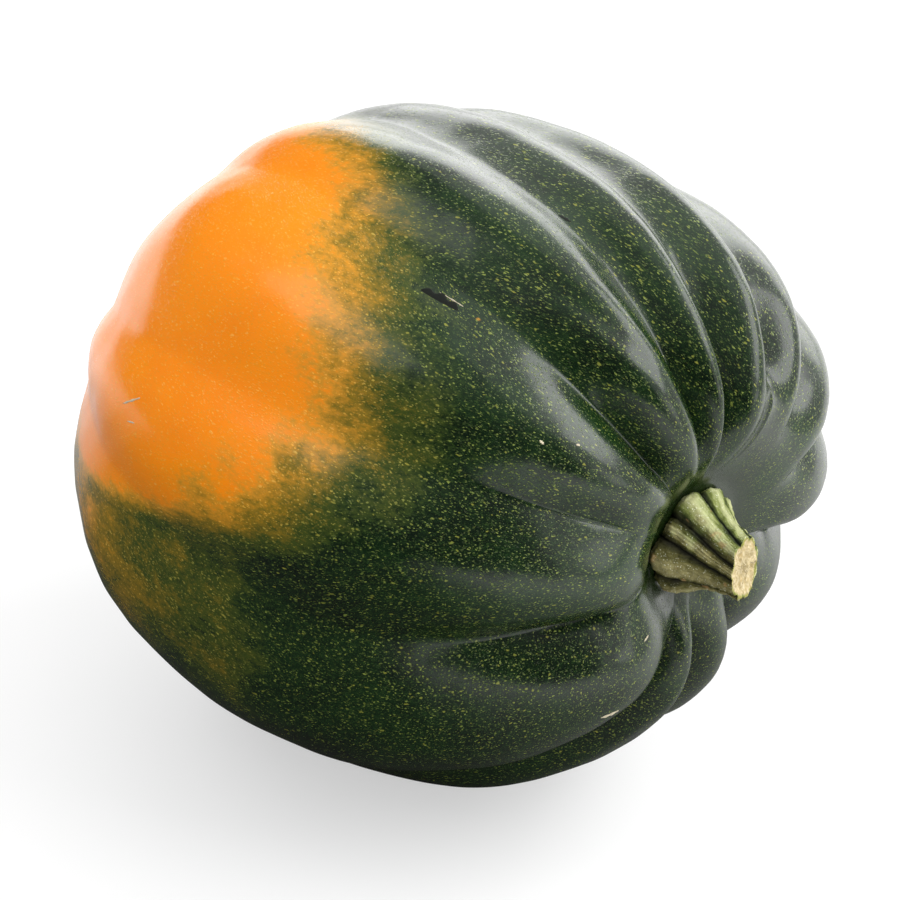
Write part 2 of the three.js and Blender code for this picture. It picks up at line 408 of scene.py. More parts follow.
def skin_point(theta, phi, height):
    """The point at theta and phi, raised by height square to the main form, and then moved with
    the pole, the belly and the leaning shoulder. The result has one more axis, for x, y and z."""
    step = 1e-4
    (x0, r0), (x, r), (x1, r1) = (outline(theta + side * step, phi) for side in (-1, 0, 1))
    slope = np.hypot(x1 - x0, r1 - r0)
    belly = (BELLY_SHIFT[0] * np.cos(phi) + BELLY_SHIFT[1] * np.sin(phi)) / RADIUS
    out = (r - (x1 - x0) / slope * height) * (1 + belly)
    lean = SHOULDER_LEAN * np.sin(phi) * out / RADIUS * np.maximum(np.cos(theta), 0)
    towards_stem = (1 + np.cos(theta)) / 2
    shift_y, shift_z = (STEM_SHIFT[axis] * towards_stem ** STEM_SHIFT[2]
                        + HOLLOW_SHIFT[axis] * towards_stem ** HOLLOW_SHIFT[2] for axis in (0, 1))
    return np.stack([x + (r1 - r0) / slope * height + lean,
                     out * np.cos(phi) + shift_y,
                     out * np.sin(phi) + shift_z], -1)


print("main form:", round(2 * HALF_LENGTH), "by", round(2 * RADIUS), "mm before its ribs and hollow")

# %% [markdown]
# ## The ribs
#
# Twelve ribs stand between twelve grooves. Each groove has its own place and winds its own way
# round the fruit, because no two ribs of a squash grew alike. Near the stem the grooves are
# sharp creases between round noses, and towards the blossom end they are soft valleys. Pleats
# are the shallow folds that split a rib on its way over the shoulder.

# %% Ribs and pleats
# the groove's angle at the shoulder and how far it winds on the way to the blossom end, in degrees,
# how deep its crease is near the stem and the theta where it starts, and then, for the rib beyond
# it, how full it stands and how far its ridge is skewed towards the next groove
RIBS = [
    (184, -38, 1.1, 0.17, 1.0, 1.0),
    (148, 0, 0.25, 0.25, 0.9, 1.0),
    (118, -24, 1.0, 0.17, 1.0, 1.2),
    (94, -24, 1.0, 0.17, 0.85, 1.35),
    (78, -34, 1.2, 0.17, 1.05, 1.4),
    (60, -20, 1.0, 0.45, 1.0, 1.35),
    (38, -28, 0.9, 0.35, 1.1, 1.2),
    (14, 5, 0.8, 0.3, 1.0, 1.0),
    (-17, 18, 1.0, 0.17, 0.7, 1.0),
    (-62, -25, 1.0, 0.17, 0.95, 1.0),
    (-88, -5, 1.0, 0.17, 1.15, 1.0),
    (-121, -60, 1.0, 0.17, 1.4, 1.0),
]
SHOULDER_ANGLE = 1.0
CREASE_DEPTH, CREASE_PLACE, CREASE_SPREAD = 5.0, 0.48, 0.48
VALLEY_DEPTH = 3.0
GROOVE_RUN_IN = 0.25
SKEW_UNTIL, SKEW_OVER = 2.4, 1.0
BLOSSOM_FADE, FADE_FROM, FADE_OVER = 0.5, 1.4, 1.2
CREASE_POWER, VALLEY_POWER = 0.75, 1.5
SOFT_FROM, SOFT_OVER = 0.4, 0.8

# rib, its share at the first end, its share at the last, theta at both, depth in mm, half width
PLEATS = [
    (2, 0.66, 0.27, 0.62, 1.35, 0.9, 0.11),
    (10, 0.55, 0.45, 0.45, 1.20, 0.7, 0.12),
]
PLEAT_RUN_IN, PLEAT_RUN_OUT = 0.3, 0.4      # shares of its length
# gentle lumps: a seed, how many waves, their height, and the shortest and the longest, in mm
SKIN_LUMPS = [(5, 14, 0.16, 18, 34), (6, 24, 0.04, 5, 9)]


def groove_angle(number, theta):
    """The angle round the fruit of this groove at theta. Number 12 is groove 0, one turn on."""
    place, wind = RIBS[number % len(RIBS)][:2]
    return np.radians(place + wind * (theta - SHOULDER_ANGLE) / math.pi - 360 * (number // len(RIBS)))


def groove_depth(number, theta):
    """How deep this groove is: a crease near the stem, and a valley all the way that fades."""
    crease, start = RIBS[number % len(RIBS)][2:4]
    near_stem = crease * CREASE_DEPTH * bell((theta - CREASE_PLACE) / CREASE_SPREAD)
    fade = 1 - BLOSSOM_FADE * soft((theta - FADE_FROM) / FADE_OVER)
    valley = VALLEY_DEPTH * np.sqrt(np.clip(np.sin(theta), 0, 1)) * fade
    return (near_stem + valley) * soft((theta - start) / GROOVE_RUN_IN)


def pleat_height(rib, theta, share):
    """The folds on this rib: each is a bell-shaped dip along a line that drifts across the rib."""
    height = np.zeros(np.broadcast_shapes(theta.shape, share.shape))
    for number, start, end, first, last, depth, width in PLEATS:
        if number == rib:
            along = (theta - first) / (last - first)
            inside = soft(along / PLEAT_RUN_IN) * soft((1 - along) / PLEAT_RUN_OUT)
            height -= depth * inside * bell((share - start - (end - start) * along) / width)
    return height


def waves(points, seed, count, amplitude, short, long):
    """Gentle lumpiness: a sum of `count` sine waves through space, with seeded directions and
    wavelengths between short and long, in mm."""
    chance = np.random.default_rng(seed)
    total = np.zeros(points.shape[:-1])
    for _ in range(count):
        way = chance.normal(size=3)
        way *= 2 * math.pi / chance.uniform(short, long) / np.linalg.norm(way)
        total += np.sin(points @ way + chance.uniform(0, 2 * math.pi))
    return amplitude * total / math.sqrt(count)


def rib_surface(rib, theta, share):
    """Points and angles of one rib: share runs from 0 at its own groove to 1 at the next. The
    rib's dome is a power of a sine, low for the creases and high for the soft valleys, and the
    share is first raised to the skew, which moves the ridge."""
    phi = groove_angle(rib, theta) * (1 - share) + groove_angle(rib + 1, theta) * share
    power = CREASE_POWER + (VALLEY_POWER - CREASE_POWER) * soft((theta - SOFT_FROM) / SOFT_OVER)
    crest, skew = RIBS[rib][4:]
    skewed = 1 + (skew - 1) * soft((SKEW_UNTIL - theta) / SKEW_OVER)
    dome = crest * np.sin(math.pi * share ** skewed) ** power
    depth = groove_depth(rib, theta) * (1 - share) + groove_depth(rib + 1, theta) * share
    height = depth * (dome - 1) + pleat_height(rib, theta, share)
    plain = skin_point(theta, phi, 0 * phi)
    for lumps in SKIN_LUMPS:
        height = height + waves(plain, *lumps)
    return skin_point(theta, phi, height), phi


print(len(RIBS), "ribs,", len(PLEATS), "pleats")

# %% [markdown]
# ## The skin as one closed mesh
#
# The grid has a ring of points for each theta, crowded at both poles, and each rib gets the same
# number of columns, crowded at its grooves. A middle point closes each end.

# %% Skin grid
ROWS = 236
COLUMNS = 28
ROW_CROWDING = 0.5
COLUMN_CROWDING = 0.4


def crowded(count, amount):
    """Numbers from 0 up to 1, closer together at both ends."""
    even = np.arange(count) / count
    return even - amount * np.sin(2 * math.pi * even) / (2 * math.pi)


def closed_mesh_faces(rings, columns):
    """Faces of a body made of rings: a fan at point 0, quads from ring to ring, and a fan at the
    last point. The points run first middle, ring by ring, last middle."""
    ring = np.arange(columns)
    turned = np.roll(ring, -1)
    first = 1 + columns * np.arange(rings - 1)[:, None]
    quads = np.stack([first + ring, first + turned, first + columns + turned, first + columns + ring], -1)
    start = np.stack([np.zeros_like(ring), 1 + turned, 1 + ring], -1)
    last = 1 + columns * (rings - 1)
    end = np.stack([np.full_like(ring, last + columns), last + ring, last + turned], -1)
    return start.tolist() + quads.reshape(-1, 4).tolist() + end.tolist()


def volume(points, faces):
    """The volume that a closed mesh holds: a sum of pyramids to the origin. Above 0, faces point out."""
    triangles = np.array([(f[0], f[i], f[i + 1]) for f in faces for i in range(1, len(f) - 1)])
    a, b, c = (points[triangles[:, i]] for i in range(3))
    return float((a * np.cross(b, c)).sum() / 6)


theta_rows = (FLOOR_ANGLE + (math.pi - FLOOR_ANGLE) * crowded(ROWS, ROW_CROWDING))[:, None]
share_columns = crowded(COLUMNS, COLUMN_CROWDING)[None, :]
ribs = [rib_surface(number, theta_rows, share_columns) for number in range(len(RIBS))]
skin = np.concatenate([points for points, _ in ribs], 1)
skin_phi = np.concatenate([phi for _, phi in ribs], 1)
skin_theta = np.broadcast_to(theta_rows, skin_phi.shape)

none = np.zeros(1)
floor_sides = [skin_point(none + FLOOR_ANGLE, none + side, none) for side in (0, math.pi)]
floor_middle = sum(floor_sides) / 2
tip = skin_point(none + math.pi, none, none)
body_points = np.concatenate([floor_middle, skin.reshape(-1, 3), tip])
body_faces = closed_mesh_faces(ROWS, COLUMNS * len(RIBS))
body_litres = volume(body_points, body_faces) / 1e6
print("the skin has", len(body_points), "points and holds", round(body_litres, 3), "litres")

# %% [markdown]
# ## Fitting the fruit to the frame
#
# The frame has the fruit at its real size and place. The fine surface is scaled evenly until its
# box is as wide as the frame's, and moved so that the two boxes line up at the top and round the
# sides. What then reaches below the ground is pressed flat: those are the spots that it lies on.

# %% Fit
BODY_LOW, BODY_HIGH = (np.array(corner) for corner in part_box("squash_body"))
own_low, own_high = body_points.min(0), body_points.max(0)
SCALE = float(((BODY_HIGH - BODY_LOW)[:2] / (own_high - own_low)[:2]).min())
PLACE = (BODY_LOW + BODY_HIGH) / 2 - SCALE * (own_low + own_high) / 2
PLACE[2] = BODY_HIGH[2] - SCALE * own_high[2]


def in_frame(points):
    """Millimetres in the fruit's own axes to metres in the frame, and nothing below the ground."""
    placed = points * SCALE + PLACE
    placed[..., 2] = np.maximum(placed[..., 2], 0)
    return placed


placed_body = in_frame(body_points)
print("scale", round(1000 * SCALE, 4), "and", int((placed_body[:, 2] == 0).sum()), "points on the ground")

# %% [markdown]
# ## Where the orange patch lies
#
# The side that lay on the warm soil ripens orange. Its edge crosses the ribs unevenly: it comes
# nearest to the stem on the widest ribs and stays back in the grooves. The edge is a curve of
# theta over phi through a few points, one towards the stem and one towards the blossom end. The
# rib beside it has a half ripe band of its own, which winds with the rib and fades towards the
# stem. The mesh keeps the distance inside the edge, in mm, and the recipe breaks it up into
# mottling. It also keeps how near the hollow's floor a point is, where the recipe paints shade on
# the skin, and a grain vector, which stretches patterns along the ribs.

# %% Orange patch
# degrees round the fruit, and the theta where the patch begins and ends there
STEM_EDGE = [
    (74, 3.00), (84, 2.30), (92, 2.05), (100, 1.92), (106, 1.72), (112, 1.60), (120, 1.56),
    (128, 1.44), (136, 1.33), (146, 1.24), (156, 1.30), (164, 1.42), (170, 1.56), (175, 1.76),
    (179, 2.05), (182, 2.45), (190, 3.00),
]
BLOSSOM_EDGE = [
    (70, 1.60), (80, 2.20), (95, 2.62), (120, 2.84), (145, 2.90), (168, 2.76), (178, 2.50),
    (186, 2.30), (194, 1.60),
]
EDGE_BLUR, EDGE_STEPS = 4, 9    # degrees to each side that the edge's corners are rounded over
# the half ripe band: its middle in degrees at this theta, how far it winds for each unit of theta,
# half its width over the radius, and the thetas where it ends
BAND_THETA, BAND_PLACE, BAND_WIND, BAND_HALF = 2.16, 179.5, 12.3, 0.09
BAND_FROM, BAND_TO = 1.65, 2.75
BAND_DEPTH, BAND_RISE = -0.03, 0.22     # how ripe it is at that theta, over the radius, and its rise
# painted shade in the hollow round the stalk, darkest near its floor
FLOOR_SHADE = (0.175, 0.27)             # the skin is darkest inside the first theta, up to the second
GRAIN_NARROWEST, GRAIN_STRETCH = 4, 0.5  # mm off the axis at the least, and the share of the length


def along_curve(table, phi):
    """A smooth curve through the table's points: straight pieces, averaged over a few degrees."""
    degrees = np.degrees(phi) % 360
    places, values = np.array(table, float).T
    shifts = np.linspace(-EDGE_BLUR, EDGE_BLUR, EDGE_STEPS)
    return np.mean([np.interp(degrees + shift, places, values) for shift in shifts], 0)


def patch_distance(theta, phi):
    """How far inside the patch a point is, in mm, with less than 0 outside: the least of the ways
    to its edges. The band never counts as far inside, so it stays half ripe."""
    from_stem_side = theta - along_curve(STEM_EDGE, phi)
    from_blossom_side = along_curve(BLOSSOM_EDGE, phi) - theta
    past = theta - BAND_THETA
    off_middle = np.abs(np.degrees(phi) % 360 - BAND_PLACE + BAND_WIND * past)
    across = BAND_HALF - np.radians(off_middle) * np.sin(theta)
    band = np.minimum(np.minimum(theta - BAND_FROM, BAND_TO - theta), across)
    band = np.minimum(band, BAND_DEPTH + BAND_RISE * past)
    return RADIUS * np.maximum(np.minimum(from_stem_side, from_blossom_side), band)


def grain_vector(theta, phi, points):
    """A place for patterns, in mm, that is stretched along the ribs: round the axis at a radius
    between the real one and the full one, and along it at a part of the real length."""
    out = np.hypot(points[..., 1], points[..., 2])
    radius = np.sqrt(np.clip(out, GRAIN_NARROWEST, None) * RADIUS)
    steps = np.linalg.norm(np.diff(points, axis=0), axis=-1)
    length = np.concatenate([np.zeros((1, points.shape[1])), np.cumsum(steps, 0)])
    return np.stack([radius * np.cos(phi), radius * np.sin(phi), GRAIN_STRETCH * length], -1)


def keep(mesh, name, kind, values):
    """Keeps a number or a vector at each point of the mesh."""
    made = mesh.attributes.new(name, kind, "POINT")
    made.data.foreach_set("value" if kind == "FLOAT" else "vector", np.asarray(values, np.float32).ravel())


def with_ends(values, first, last):
    """Values on the grid, with one more for the middle point at each end."""
    flat_values = values.reshape(-1, *values.shape[2:])
    return np.concatenate([[first], flat_values, [last]])


patch = patch_distance(skin_theta, skin_phi)
# painted shade: strongest on the hollow's floor round the stalk
hollow_shade = soft((FLOOR_SHADE[1] - skin_theta) / (FLOOR_SHADE[1] - FLOOR_SHADE[0]))
grain = grain_vector(skin_theta, skin_phi, skin)
print("orange on about", round(100 * float((patch > 0).mean())), "% of the grid")

# %% [markdown]
# ## Scars and nicks
#
# A field-grown fruit has a few marks: a healed slit, scratches, and nicks from handling. The
# slit's dark opening and a short dark crevice in one groove are painted shade: dark slivers where
# the shade falls. The thin pale lip along the slit's upper edge is a painted highlight, in the
# cork's colour. Each is a sliver: a flat ring of points carried along a short line on the skin,
# wide in the middle and closed to a point at both ends, so it stands a little proud like real
# cork. Their faces join the skin's mesh, with materials of their own.

# %% Scars and nicks
# rib, then theta and share at both ends, half width and height in mm, and which paint
MARKS = [
    # painted shade: the slit's dark opening
    (1, 1.31, 0.85, 1.19, 0.875, 1.1, 0.10, 2),
    # painted highlight: a thin pale lip along the slit's upper edge, in the cork's colour
    (1, 1.27, 0.90, 1.19, 0.915, 0.12, 0.10, 1),
    # painted shade: a short dark crevice in the groove
    (3, 1.25, 0.00, 1.21, 0.05, 0.35, 0.08, 2),
    (0, 1.95, 0.53, 1.885, 0.65, 0.2, 0.10, 1),
    (0, 1.905, 0.46, 1.87, 0.49, 0.14, 0.08, 1),
    (11, 0.53, 0.46, 0.49, 0.41, 0.35, 0.14, 1),
    (10, 0.53, 0.90, 0.50, 0.88, 0.28, 0.12, 1),
    (11, 0.33, 0.70, 0.31, 0.68, 0.25, 0.10, 1),
    (1, 0.80, 0.48, 0.785, 0.47, 0.22, 0.06, 1),
    (1, 0.715, 0.60, 0.705, 0.61, 0.2, 0.06, 1),
]
# the first paint is real cork and also the slit's painted highlight; the second is painted shade
MARK_PAINTS = [("cork_and_painted_highlight", (212, 200, 172), 0.8), ("slit_painted_shade", (6, 16, 3), 0.8)]
MARK_RINGS, MARK_SIDES = 17, 12
MARK_WOBBLE = 0.35      # how much its width comes and goes, as a share


def mark_surface(rib, theta_start, share_start, theta_end, share_end, half_width, height):
    """Rings round a line on the skin. Half a ring's width is the mark's, times the root of one less
    t squared, where t runs from -1 to 1 along the line. Square to the skin it is the height."""
    t = np.linspace(-0.98, 0.98, MARK_RINGS)
    middle = (1 + t) / 2

    def on_skin(aside):
        theta = theta_start + (theta_end - theta_start) * middle
        share = share_start + (share_end - share_start) * middle + aside
        return rib_surface(rib, theta, np.clip(share, 0.001, 0.999))[0]

    line = on_skin(0)
    forward = np.gradient(line, axis=0)
    outward = line - np.array([0.0, STEM_SHIFT[0] / 2, STEM_SHIFT[1] / 2])
    aside = np.cross(forward, outward)
    aside /= np.linalg.norm(aside, axis=1, keepdims=True)
    out = np.cross(aside, forward)
    out /= np.linalg.norm(out, axis=1, keepdims=True)
    taper = np.sqrt(1 - t * t)[:, None, None]
    wobble = 1 + MARK_WOBBLE * np.sin(9 * t + 7 * share_start + 40 * theta_start)[:, None, None]
    turn = 2 * math.pi * np.arange(MARK_SIDES)[:, None] / MARK_SIDES
    ring = aside[:, None] * np.cos(turn) * half_width * wobble + out[:, None] * np.sin(turn) * height
    return line[:, None] + taper * ring


mark_points, mark_faces, mark_kinds = [], [], []
for rib, *shape, kind in MARKS:
    rings = mark_surface(rib, *shape)
    start = len(body_points) + sum(len(points) for points in mark_points)
    mark_points.append(np.concatenate([rings[:1].mean(1), rings.reshape(-1, 3), rings[-1:].mean(1)]))
    faces = closed_mesh_faces(MARK_RINGS, MARK_SIDES)
    if volume(mark_points[-1], faces) < 0:
        faces = [face[::-1] for face in faces]
    mark_faces += [[start + corner for corner in face] for face in faces]
    mark_kinds += [kind] * len(faces)
mark_points = np.concatenate(mark_points)


def with_marks(values):
    """Values for the skin's points, with zeros for the points of the marks."""
    return np.concatenate([values, np.zeros((len(mark_points), *values.shape[1:]))])


def plain_finish(name, tint, roughness):
    """One colour, mottled a little, with this roughness."""
    made = new_material(name)
    here = Wire.node("ShaderNodeTexCoord", output="Object")
    place = Wire.node("ShaderNodeVectorMath", {"operation": "SCALE"}, {0: here, "Scale": 1000.0})
    darker = paint(*(0.6 * part for part in tint))
    mottled = blended(between(noise(place, 0.6, 2), -0.2, 0.2) * 0.4, paint(*tint), darker)
    settings = {"Base Color": mottled, "Roughness": roughness}
    finish_material(Wire.node("ShaderNodeBsdfPrincipled", inputs=settings))
    return made


print(len(MARKS), "marks with", len(mark_points), "points")

# %% [markdown]
# ## The skin's recipe
#
# Acorn squash skin is waxy and smooth, with a soft gloss. Under the gloss it is a deep green with
# thousands of pale flecks, each a lens-shaped pore a few tenths of a millimetre across, and with
# a yellow blotch here and there. Where it ripens, orange shows through: solid in the middle, and
# broken into blotches and dots at the edge. Each of these is a mask, and the masks cover one
# another like coats of paint. The flecks come from Voronoi cells, because those are spaced
# evenly but not in rows, and each cell has its own size and tint.

# %% Skin recipe
def flecks(place, spacing, smallest, largest, sharpness):
    """Dots in Voronoi cells of this spacing, and two chance numbers for each. The first one sets
    the dot's radius, between the smallest and the largest share of the spacing."""
    settings = {"feature": "F1", "voronoi_dimensions": "3D"}
    inputs = {"Vector": place, "Scale": 1 / spacing, "Randomness": 1.0}
    distance = Wire.node("ShaderNodeTexVoronoi", settings, inputs, "Distance")
    colour = Wire.node("ShaderNodeTexVoronoi", settings, inputs, "Color")
    chance, other = (Wire.node("ShaderNodeSeparateColor", inputs={"Color": colour}, output=part)
                     for part in ("Red", "Green"))
    radius = chance * (largest - smallest) + smallest
    return between(radius - distance, -sharpness, sharpness), other


def ramp(value, stops):
    """A colour for a value from 0 to 1, from the places and colours of the stops."""
    return Wire.node("ShaderNodeValToRGB", {"stops": stops}, {"Fac": value})


def shaken(place, size, amount):
    """The place, pushed about by noise, so that round dots turn ragged."""
    settings = {"Vector": place, "Scale": 1 / size, "Detail": 1.0}
    push = Wire.node("ShaderNodeTexNoise", inputs=settings, output="Color")
    centred = Wire.node("ShaderNodeVectorMath", {"operation": "SUBTRACT"}, {0: push, 1: (0.5, 0.5, 0.5)})
    scaled = Wire.node("ShaderNodeVectorMath", {"operation": "SCALE"}, {0: centred, "Scale": amount})
    return Wire.node("ShaderNodeVectorMath", {"operation": "ADD"}, {0: place, 1: scaled})


def skin_recipe():
    """Green skin, flecks, blotches and the orange patch, and the wax over them."""
    made = new_material("squash_skin")
    grain_at = attribute("grain", "Vector")
    here = Wire.node("ShaderNodeTexCoord", output="Object")
    place = Wire.node("ShaderNodeVectorMath", {"operation": "SCALE"}, {0: here, "Scale": 1000.0})
    ragged = shaken(grain_at, 0.5, 0.5)
    inside = attribute("patch")

    cloud = noise(place, 22, 3)
    streak = noise(grain_at, 6, 3)
    fine = noise(grain_at, 0.9, 3, 0.6)
    wide = noise(place, 13, 2)
    middle = noise(grain_at, 4.5, 3, 0.55)

    green = blended(between(cloud + streak * 0.7, -0.2, 0.25), paint(7, 23, 10), paint(17, 41, 16))
    green = blended(between(fine, -0.1, 0.3) * 0.5, green, paint(34, 60, 26))

    uneven = inside + wide * 22 + middle * 15 - 3
    ripe_base = between(uneven + fine * 17, -27, 18)
    ripe_flecks = between(uneven, -20, 4)
    ripening = [
        (0.0, paint(28, 48, 20)), (0.25, paint(62, 74, 24)), (0.5, paint(132, 108, 26)),
        (0.72, paint(204, 140, 34)), (0.88, paint(246, 142, 8)), (1.0, paint(252, 141, 0)),
    ]
    base = ramp(ripe_base, ripening)
    base = blended(between(ripe_base, 0.0, 0.2), green, base)
    deep = between(streak + cloud, -0.1, 0.35) * between(ripe_base, 0.7, 1.0)
    base = blended(deep * 0.6, base, paint(248, 132, 0))

    tiny, tiny_chance = flecks(ragged, 0.28, 0.1, 0.5, 0.15)
    small, small_chance = flecks(ragged, 0.31, -0.04, 0.47, 0.13)
    medium, medium_chance = flecks(ragged, 0.74, -0.45, 0.29, 0.08)
    tiny_tint = blended(ripe_flecks, paint(64, 88, 34), paint(222, 150, 30))
    skin_colour = blended(tiny * (tiny_chance * 0.45 + 0.05), base, tiny_tint)
    small_green = blended(small_chance, paint(76, 96, 42), paint(142, 156, 70))
    small_ripe = blended(small_chance, paint(222, 150, 20), paint(250, 182, 60))
    small_tint = blended(ripe_flecks, small_green, small_ripe)
    strength = (small_chance * 0.7 + 0.12) * (1 - ripe_base * 0.2)
    skin_colour = blended(small * strength, skin_colour, small_tint)
    medium_green = blended(medium_chance, paint(126, 140, 60), paint(164, 162, 62))
    medium_ripe = blended(medium_chance, paint(240, 170, 50), paint(246, 196, 90))
    medium_tint = blended(ripe_flecks, medium_green, medium_ripe)
    skin_colour = blended(medium * (0.62 - ripe_base * 0.25), skin_colour, medium_tint)
    blotch, blotch_chance = flecks(ragged, 6, -0.9, 0.09, 0.03)
    blotch_tint = blended(blotch_chance, paint(176, 168, 50), paint(222, 150, 30))
    skin_colour = blended(blotch * 0.8, skin_colour, blotch_tint)

    # painted shade: the skin darkens towards the hollow's floor round the stalk
    skin_colour = blended(attribute("hollow") * 0.85, skin_colour, paint(22, 36, 10))

    relief = fine * 0.05 + small * 0.05 + noise(place, 5.5, 2) * 0.15
    bump = Wire.node("ShaderNodeBump", inputs={"Height": relief, "Strength": 0.5, "Distance": 0.0006})
    rough = 0.21 + noise(place, 3, 3) * 0.08 + small * 0.05
    finish_material(Wire.node("ShaderNodeBsdfPrincipled", inputs={
        "Base Color": skin_colour, "Roughness": rough, "IOR": 1.5, "Normal": bump}))
    return made


body = mesh_object("squash_skin", np.concatenate([placed_body, in_frame(mark_points)]),
                   body_faces + mark_faces, skin_recipe())
body.data.polygons.foreach_set("use_smooth", np.ones(len(body.data.polygons), bool))
for name, tint, shine in MARK_PAINTS:
    body.data.materials.append(plain_finish(name, tint, shine))
body.data.polygons.foreach_set("material_index", [0] * len(body_faces) + mark_kinds)
keep(body.data, "hollow", "FLOAT", with_marks(with_ends(hollow_shade, 1.0, 0.0)))
keep(body.data, "patch", "FLOAT", with_marks(with_ends(patch, -99.0, -10.0)))
keep(body.data, "grain", "FLOAT_VECTOR", with_marks(with_ends(grain, grain[0].mean(0), grain[-1].mean(0))))
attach(body, "root")
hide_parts("squash_body")
print("squash_skin:", len(body.data.polygons), "faces")

# %% [markdown]
# ## The stalk
#
# The stalk is a woody post, cut off with a knife. It flares into a foot that rolled out over the
# fruit's floor as it grew, and nine ridges run up it and turn a little on the way. No two are
# alike: each has its own width, fullness and furrow. It is a profile carried along an axis: rings
# from the foot up to the cut, and then smaller and smaller rings across the cut face.

# %% Stalk grid
STALK_LENGTH = 12.9
STALK_GAP = 0.3
STALK_FOOT_RADIUS, STALK_NECK_RADIUS = 10.2, 5.4
# the furrow before each ridge: its angle and its depth, and then how full the ridge stands and
# how far its foot rolls out, in mm
STALK_RIDGES = [
    (330, 1.3, 0.0, 0.5),
    (285, 1.3, 0.4, 1.1),
    (240, 1.6, 0.2, 1.2),
    (205, 0.9, 0.6, 1.6),
    (160, 1.2, -0.2, 0.4),
    (132, 0.8, 0.7, 1.2),
    (86, 1.8, -0.2, 0.8),
    (42, 1.4, -0.5, 0.4),
    (10, 1.2, 0.0, 0.5),
]
FURROW_POWER = 0.55                     # the lower, the narrower the furrows between the ridges
FURROW_FADE, FURROW_KEPT = 0.5, 0.75    # how much shallower at the cut, and what bark leaves of them
FULLNESS_FADE = 0.6
FOOT_CURVE = 1.7                        # how soon the flare of the foot dies away
ROLL_PLACE, ROLL_SPREAD, ROLL_POWER = 0.15, 0.2, 0.7
FOOT_TUCK, TUCK_SPREAD = 0.9, 0.05      # how far the foot's edge is drawn in, in mm
STALK_TWIST, STALK_SWAY = 14, 4         # degrees
FIBRE_HEIGHT, FIBRES_ROUND = 0.16, (47, 31)     # mm, and two counts of fibres that beat together
CUT_SLANT = (0.35, 0.25)
CUT_DISH = 0.35                         # how far the middle of the cut is sunk, in mm
# lumps as on the fruit: a seed, how many waves, their height, and the shortest and the longest
STALK_LUMPS = [(21, 30, 0.14, 2.4, 6), (22, 40, 0.09, 0.9, 2.2)]
CUT_LUMPS = (9, 36, 0.24, 1.0, 3.2)
STALK_ROWS, STALK_COLUMNS, CUT_ROWS = 90, 30, 20


def stalk_surface():
    """Points, ridge crests, way along and angles of the stalk, ring by ring from the foot. The
    radius is the girth, plus the ridge's fullness and the roll of its foot, less the furrow."""
    sides = np.arange(STALK_COLUMNS) / STALK_COLUMNS
    starts, furrows, fullness, rolls = np.array(STALK_RIDGES, float).T

    def across(values, last):
        return (values[:, None] * (1 - sides) + np.append(values[1:], last)[:, None] * sides).ravel()

    angle = across(starts, starts[0] - 360)
    furrow = across(furrows, furrows[0])
    full, roll = (np.repeat(values, STALK_COLUMNS) for values in (fullness, rolls))
    crest = np.tile(np.sin(math.pi * sides), len(starts))
    along = np.concatenate([np.linspace(0, 1, STALK_ROWS), np.ones(CUT_ROWS)])[:, None]
    shrink = np.concatenate([np.ones(STALK_ROWS), 1 - np.arange(1, CUT_ROWS + 1) / (CUT_ROWS + 1)])[:, None]

    girth = STALK_NECK_RADIUS + (STALK_FOOT_RADIUS - STALK_NECK_RADIUS) * (1 - along) ** FOOT_CURVE
    rolled = roll * crest ** ROLL_POWER * bell((along - ROLL_PLACE) / ROLL_SPREAD)
    tucked = FOOT_TUCK * bell(along / TUCK_SPREAD)
    dip = FURROW_KEPT * furrow * (1 - crest ** FURROW_POWER) * (1 - FURROW_FADE * along)
    radius = girth + full * crest * (1 - FULLNESS_FADE * along) + rolled - tucked - dip
    sway = STALK_SWAY * np.sin(5 * along + angle / 40)
    phi = np.radians(angle + STALK_TWIST * along + sway)
    many, fewer = (np.radians(angle) * count for count in FIBRES_ROUND)
    fibres = FIBRE_HEIGHT * np.sin(many + 3 * along) * np.sin(fewer + 1)
    radius = (radius + fibres) * shrink
    y, z = radius * np.cos(phi), radius * np.sin(phi)
    length = STALK_LENGTH - CUT_SLANT[0] * y - CUT_SLANT[1] * z
    lean_rate = SHOULDER_LEAN * math.cos(FLOOR_ANGLE) / RADIUS
    x = STALK_GAP + lean_rate * z + along * length
    points = np.stack([x, y, z], -1)
    lumps = sum(waves(points, *kind) for kind in STALK_LUMPS)
    points[..., 1:] *= (1 + lumps * np.minimum(shrink * 1.5, 1) / np.maximum(radius, 2))[..., None]
    on_cut = soft((1 - shrink) / 0.08)
    rough = waves(points, *CUT_LUMPS)
    points[..., 0] += on_cut * (rough - CUT_DISH * soft((1 - shrink) / 0.5))
    return points, np.broadcast_to(crest, phi.shape), along + 0 * phi, 1 - shrink + 0 * phi, phi


stalk, stalk_crest, stalk_along, stalk_cut, stalk_phi = stalk_surface()
foot_middle, cut_middle = [STALK_GAP, 0, 0], stalk[-1].mean(0)
stalk_points = np.concatenate([[foot_middle], stalk.reshape(-1, 3), [cut_middle]]) + floor_middle
# its rings run the other way along the axis than the fruit's, so its faces are turned over
stalk_faces = [face[::-1] for face in closed_mesh_faces(len(stalk), stalk.shape[1])]
print("the stalk holds", round(volume(stalk_points, stalk_faces) / 1000, 2), "cubic cm")
